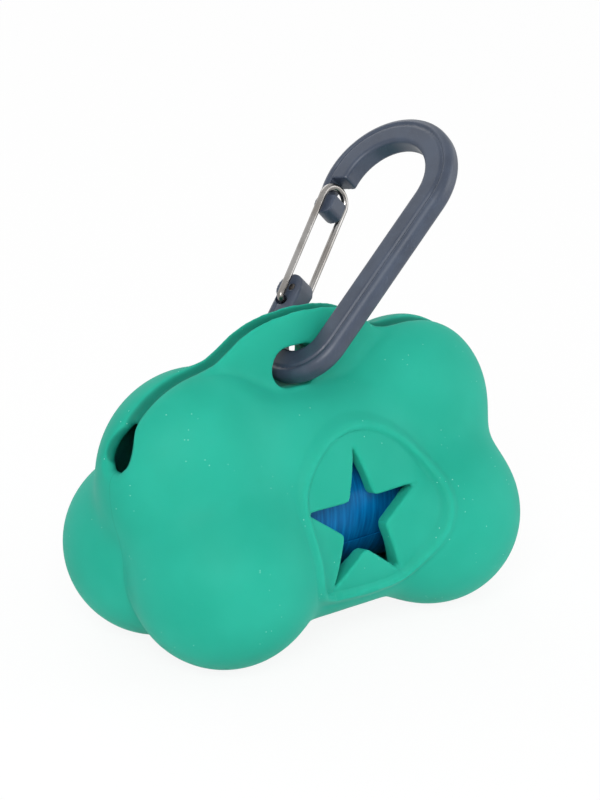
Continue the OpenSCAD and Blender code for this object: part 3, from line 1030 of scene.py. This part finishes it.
@dataclass
class BagRoll:
    """The wound film, its loose end, and the card tube that it is wound on, in millimetres."""

    length: float = 58.0
    radius: float = 16.0
    core_r: float = 7.5
    core_wall: float = 0.8
    core_edge: float = 0.15
    core_around: int = 96
    play: float = 0.05
    edge_r: float = 1.2
    edge_angles: tuple[float, ...] = (15.0, 35.0, 55.0, 75.0)
    layers: int = 12
    first_layer: float = 0.3
    rings: int = 72
    around: int = 160
    uneven: float = 0.16
    swell: tuple[float, float, float] = (0.06, 0.04, 0.08)
    tail_turn: float = 70.0
    tail_t: float = 0.12
    tail_short: float = 0.8
    tail_count: int = 24
    tail_around: int = 26
    tail_lift: tuple[float, float, float] = (0.06, 0.05, 2.3)
    seed: int = 7

    def centre(self) -> Vector:
        """Middle of the roll, from its fixed solid, in metres."""
        low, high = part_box("roll_core")
        return (low + high) / 2

    def from_axis(self, points: np.ndarray) -> tuple[np.ndarray, np.ndarray]:
        """Measure from the roll's axis, in its cross-section.

        Args:
            points: The points.

        Returns:
            Each point's way out in y and z, and its distance.
        """
        out = points[:, 1:] - (np.array(self.centre()) / MM)[1:]
        return out, np.hypot(out[:, 0], out[:, 1])

    def spun(
        self, name: str, outline: list[tuple[float, float]], steps: int, turn: float
    ) -> bpy.types.Object:
        """Draw an outline point by point, straight down from the roll's axis, and spin it round that axis.

        Args:
            name: The new piece's name.
            outline: Points along the roll and out from its axis, in millimetres.
            steps: Number of steps round.
            turn: Angle that it is spun through, in degrees.

        Returns:
            The spun mesh, its place in its points.
        """
        centre = self.centre()
        bpy.ops.object.select_all(action="DESELECT")
        bpy.ops.mesh.primitive_plane_add(size=MM, location=centre)
        piece = bpy.context.active_object
        piece.name = name
        bpy.ops.object.transform_apply(location=True, rotation=True, scale=True)
        bpy.ops.object.mode_set(mode="EDIT")
        bpy.ops.mesh.select_mode(type="VERT")
        bpy.ops.mesh.select_all(action="SELECT")
        bpy.ops.mesh.merge(type="CENTER")
        spots = [centre + MM * Vector((along, 0.0, -out)) for along, out in outline]
        bpy.ops.transform.translate(value=spots[0] - centre)
        for here, there in zip(spots, spots[1:]):
            bpy.ops.mesh.extrude_region_move(TRANSFORM_OT_translate={"value": there - here})
        bpy.ops.mesh.select_all(action="SELECT")
        bpy.ops.mesh.spin(steps=steps, angle=math.radians(turn), center=centre, axis=(1, 0, 0))
        bpy.ops.mesh.select_all(action="SELECT")
        bpy.ops.mesh.remove_doubles(threshold=0.002 * MM)
        bpy.ops.mesh.normals_make_consistent(inside=False)
        bpy.ops.object.mode_set(mode="OBJECT")
        return piece

    def film_outline(self) -> list[tuple[float, float]]:
        """Draw the wound film's closed section: uneven layer edges at its ends and faint bands along it.

        Returns:
            Points along the roll and out from its axis, the last the same as the first.
        """
        random = np.random.default_rng(self.seed)
        bore = self.core_r + self.play
        half = self.length / 2
        ends = []
        for side in (-1, 1):
            radii = np.linspace(bore + self.first_layer, self.radius - self.edge_r, self.layers)
            dents = random.uniform(0, self.uneven * 2, len(radii))
            ends.append([(side * (half - dent), out) for dent, out in zip(dents, radii)])
        corner = [math.radians(a) for a in self.edge_angles]
        ease = self.edge_r
        rounded = [(math.cos(a) * ease, math.sin(a) * ease) for a in corner]
        left = [(-half + ease - dx, self.radius - ease + dy) for dx, dy in rounded]
        right = [(half - ease + dx, self.radius - ease + dy) for dx, dy in reversed(rounded)]
        along = np.linspace(-half + ease, half - ease, self.rings)
        bands = random.uniform(-self.uneven, 0, self.rings)
        bands = np.convolve(np.pad(bands, 1, mode="edge"), (0.25, 0.5, 0.25), mode="valid")
        middle = [(x, self.radius + band) for x, band in zip(along, bands)]
        outline = [(-half, bore), *ends[0], *left, *middle, *right, *reversed(ends[1]), (half, bore)]
        return [*outline, outline[0]]

    def build_film(self) -> bpy.types.Object:
        """Model the wound film and wrap its uneven tension round it.

        Returns:
            The finished mesh, without its material.
        """
        piece = self.spun("wound_film", self.film_outline(), self.around, 360.0)
        points = points_of(piece)
        out, radius = self.from_axis(points)
        angle = np.arctan2(out[:, 1], out[:, 0])
        share = np.clip((radius - self.core_r - 2) / (self.radius - self.core_r - 2), 0, 1)
        wide, narrow, sink = self.swell
        swell = wide * np.sin(3 * angle + points[:, 0] / 9) + narrow * np.sin(7 * angle - points[:, 0] / 5)
        points[:, 1:] += out / radius[:, None] * (share * (swell - sink))[:, None]
        set_points(piece, points)
        shade_smoothly(piece, 35)
        return piece

    def build_tail(self) -> bpy.types.Object:
        """Model the loose end of the last bag, which lies on the roll and lifts a little at its edge.

        Returns:
            The finished mesh, without its material.
        """
        half = self.length / 2 - self.tail_short
        count = self.tail_count
        line = [(-half + 2 * half * i / count, self.radius + self.tail_t) for i in range(count + 1)]
        piece = self.spun("film_end", line, self.tail_around, self.tail_turn)
        points = points_of(piece)
        out, radius = self.from_axis(points)
        turn = np.degrees(np.arctan2(out[:, 0], -out[:, 1])) % 360
        share = np.clip((turn - 0.75 * self.tail_turn) / (0.25 * self.tail_turn), 0, 1)
        lift, ripple, ripple_len = self.tail_lift
        wave = lift + ripple * np.sin(points[:, 0] / ripple_len)
        points[:, 1:] += out / radius[:, None] * (share * wave)[:, None]
        set_points(piece, points)
        apply_modifier(piece, "SOLIDIFY", thickness=self.tail_t * MM, offset=0.0)
        shade_smoothly(piece, 40)
        return piece

    def build_core(self) -> bpy.types.Object:
        """Model the card tube with its softened cut ends.

        Returns:
            The finished mesh, without its material.
        """
        half = self.length / 2
        outer, soft = self.core_r, self.core_edge
        inner = outer - self.core_wall
        end = [(half - soft, outer), (half, outer - soft), (half, inner + soft), (half - soft, inner)]
        outline = [(-along, out) for along, out in reversed(end)] + end
        piece = self.spun("card_tube", [*outline, outline[0]], self.core_around, 360.0)
        shade_smoothly(piece, 30)
        return piece


# ---- Studio ----


@dataclass(frozen=True)
class Studio:
    """The pale floor, the plain light and the camera at the photograph's angle."""

    target: tuple[float, float, float] = (0.0, 0.0, 28.0)
    distance: float = 700.0
    azimuth: float = 41.0
    elevation: float = 21.5
    roll: float = 1.6
    focal_px: float = 3542.0
    long_side_px: float = 800.0
    sensor: float = 36.0
    target_px: tuple[float, float] = (295.7, 480.0)
    middle_px: tuple[float, float] = (300.0, 400.0)
    clip_m: tuple[float, float] = (0.05, 20.0)
    white: str = "#FFFFFF"
    world_strength: float = 0.46
    # Each lamp's name, place and side in metres, and power in watts
    lamps: tuple[tuple[str, tuple[float, float, float], float, float], ...] = (
        ("key", (-0.75, -0.75, 0.75), 0.6, 11.0),
        ("fill", (0.9, -0.7, 0.4), 0.8, 4.0),
        ("back", (0.2, 0.9, 0.8), 0.8, 3.0),
    )
    floor_m: float = 8.0
    floor_glow: float = 0.9

    def place_camera(self) -> None:
        """Create the camera where the photograph was taken from, aimed so that the target is on its pixel."""
        side, up = math.radians(self.azimuth), math.radians(self.elevation)
        back = Vector((-math.sin(side) * math.cos(up), -math.cos(side) * math.cos(up), math.sin(up)))
        camera = bpy.data.objects.new("camera", bpy.data.cameras.new("camera"))
        bpy.context.scene.collection.objects.link(camera)
        camera.location = MM * (Vector(self.target) + self.distance * back)
        facing = (-back).to_track_quat("-Z", "Y")
        turn_x = math.atan((self.target_px[1] - self.middle_px[1]) / self.focal_px)
        turn_y = math.atan((self.target_px[0] - self.middle_px[0]) / self.focal_px)
        rolled = Euler((0.0, 0.0, math.radians(self.roll))).to_quaternion()
        aimed = Euler((turn_x, turn_y, 0.0)).to_quaternion()
        camera.rotation_mode = "QUATERNION"
        camera.rotation_quaternion = facing @ rolled @ aimed
        camera.data.sensor_width = self.sensor
        camera.data.lens = self.sensor * self.focal_px / self.long_side_px
        camera.data.clip_start, camera.data.clip_end = self.clip_m
        bpy.context.scene.camera = camera

    def light(self) -> None:
        """Set the world and three soft lamps at a plain level."""
        world = bpy.data.worlds.new("studio")
        bpy.context.scene.world = world
        world.use_nodes = True
        tree = world.node_tree
        seen = any_ray(tree, "Is Camera Ray", "Is Glossy Ray", "Is Transmission Ray")
        strength = add_node(tree, "MapRange", {"Value": seen, "To Min": self.world_strength, "To Max": 1.0})
        background = next(n for n in tree.nodes if n.type == "BACKGROUND")
        background.inputs["Color"].default_value = linear(self.white)
        tree.links.new(strength.outputs[0], background.inputs["Strength"])
        for name, place, size, power in self.lamps:
            light = bpy.data.lights.new(name, "AREA")
            light.size = size
            light.energy = power
            lamp = bpy.data.objects.new(name, light)
            bpy.context.scene.collection.objects.link(lamp)
            lamp.location = place
            aim = MM * Vector(self.target) - lamp.location
            lamp.rotation_euler = aim.to_track_quat("-Z", "Y").to_euler()

    def lay_floor(self) -> None:
        """Lay the white floor, which stays white to the camera but for the object's soft shadow."""
        bpy.ops.object.select_all(action="DESELECT")
        bpy.ops.mesh.primitive_plane_add(size=self.floor_m)
        floor = bpy.context.active_object
        floor.name = "floor"
        material, tree, shader, _ = new_material("white_floor")
        shader.inputs["Base Color"].default_value = linear(self.white)
        shader.inputs["Roughness"].default_value = 0.9
        seen = any_ray(tree, "Is Camera Ray", "Is Glossy Ray")
        share = add_node(tree, "Math", {0: seen, 1: self.floor_glow}, operation="MULTIPLY")
        glow = add_node(tree, "Emission", {"Color": linear(self.white), "Strength": 1.0})
        mix = add_node(tree, "MixShader", {"Fac": share.outputs[0], 1: shader.outputs[0], 2: glow.outputs[0]})
        output = next(n for n in tree.nodes if n.type == "OUTPUT_MATERIAL")
        tree.links.new(mix.outputs[0], output.inputs["Surface"])
        floor.data.materials.append(material)


# ---- Whole object ----


@dataclass
class Dispenser:
    """The whole dispenser: pouch, clip, gate and the roll of bags."""

    pouch: Pouch
    clip: SnapClip
    roll: BagRoll

    def build(self) -> None:
        """Build and dress each piece in turn."""
        silicone = self.pouch.build()
        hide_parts("pouch")
        finish_piece(silicone, MouldedSilicone().build(), Body.POUCH)
        film_finish = WoundFilm().build()
        film = self.roll.build_film()
        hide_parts("bag_roll")
        finish_piece(film, film_finish, Body.ROLL)
        finish_piece(self.roll.build_tail(), film_finish, Body.ROLL)
        core = self.roll.build_core()
        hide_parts("roll_core")
        finish_piece(core, SpiralCard().build(), Body.ROLL)
        nylon = self.clip.build()
        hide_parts("clip_body")
        finish_piece(nylon, MouldedNylon().build(), Body.CLIP)
        finish_piece(frame["nodes"]["wire_gate"], DrawnSteel().build(), Body.GATE)


def main() -> None:
    """Build the object, then the studio round it."""
    logging.basicConfig(level=logging.INFO, format="%(message)s")
    bpy.context.scene.view_settings.view_transform = "Standard"
    Dispenser(Pouch(), SnapClip(), BagRoll()).build()
    studio = Studio()
    studio.place_camera()
    studio.light()
    studio.lay_floor()


if __name__ == "__main__":
    main()
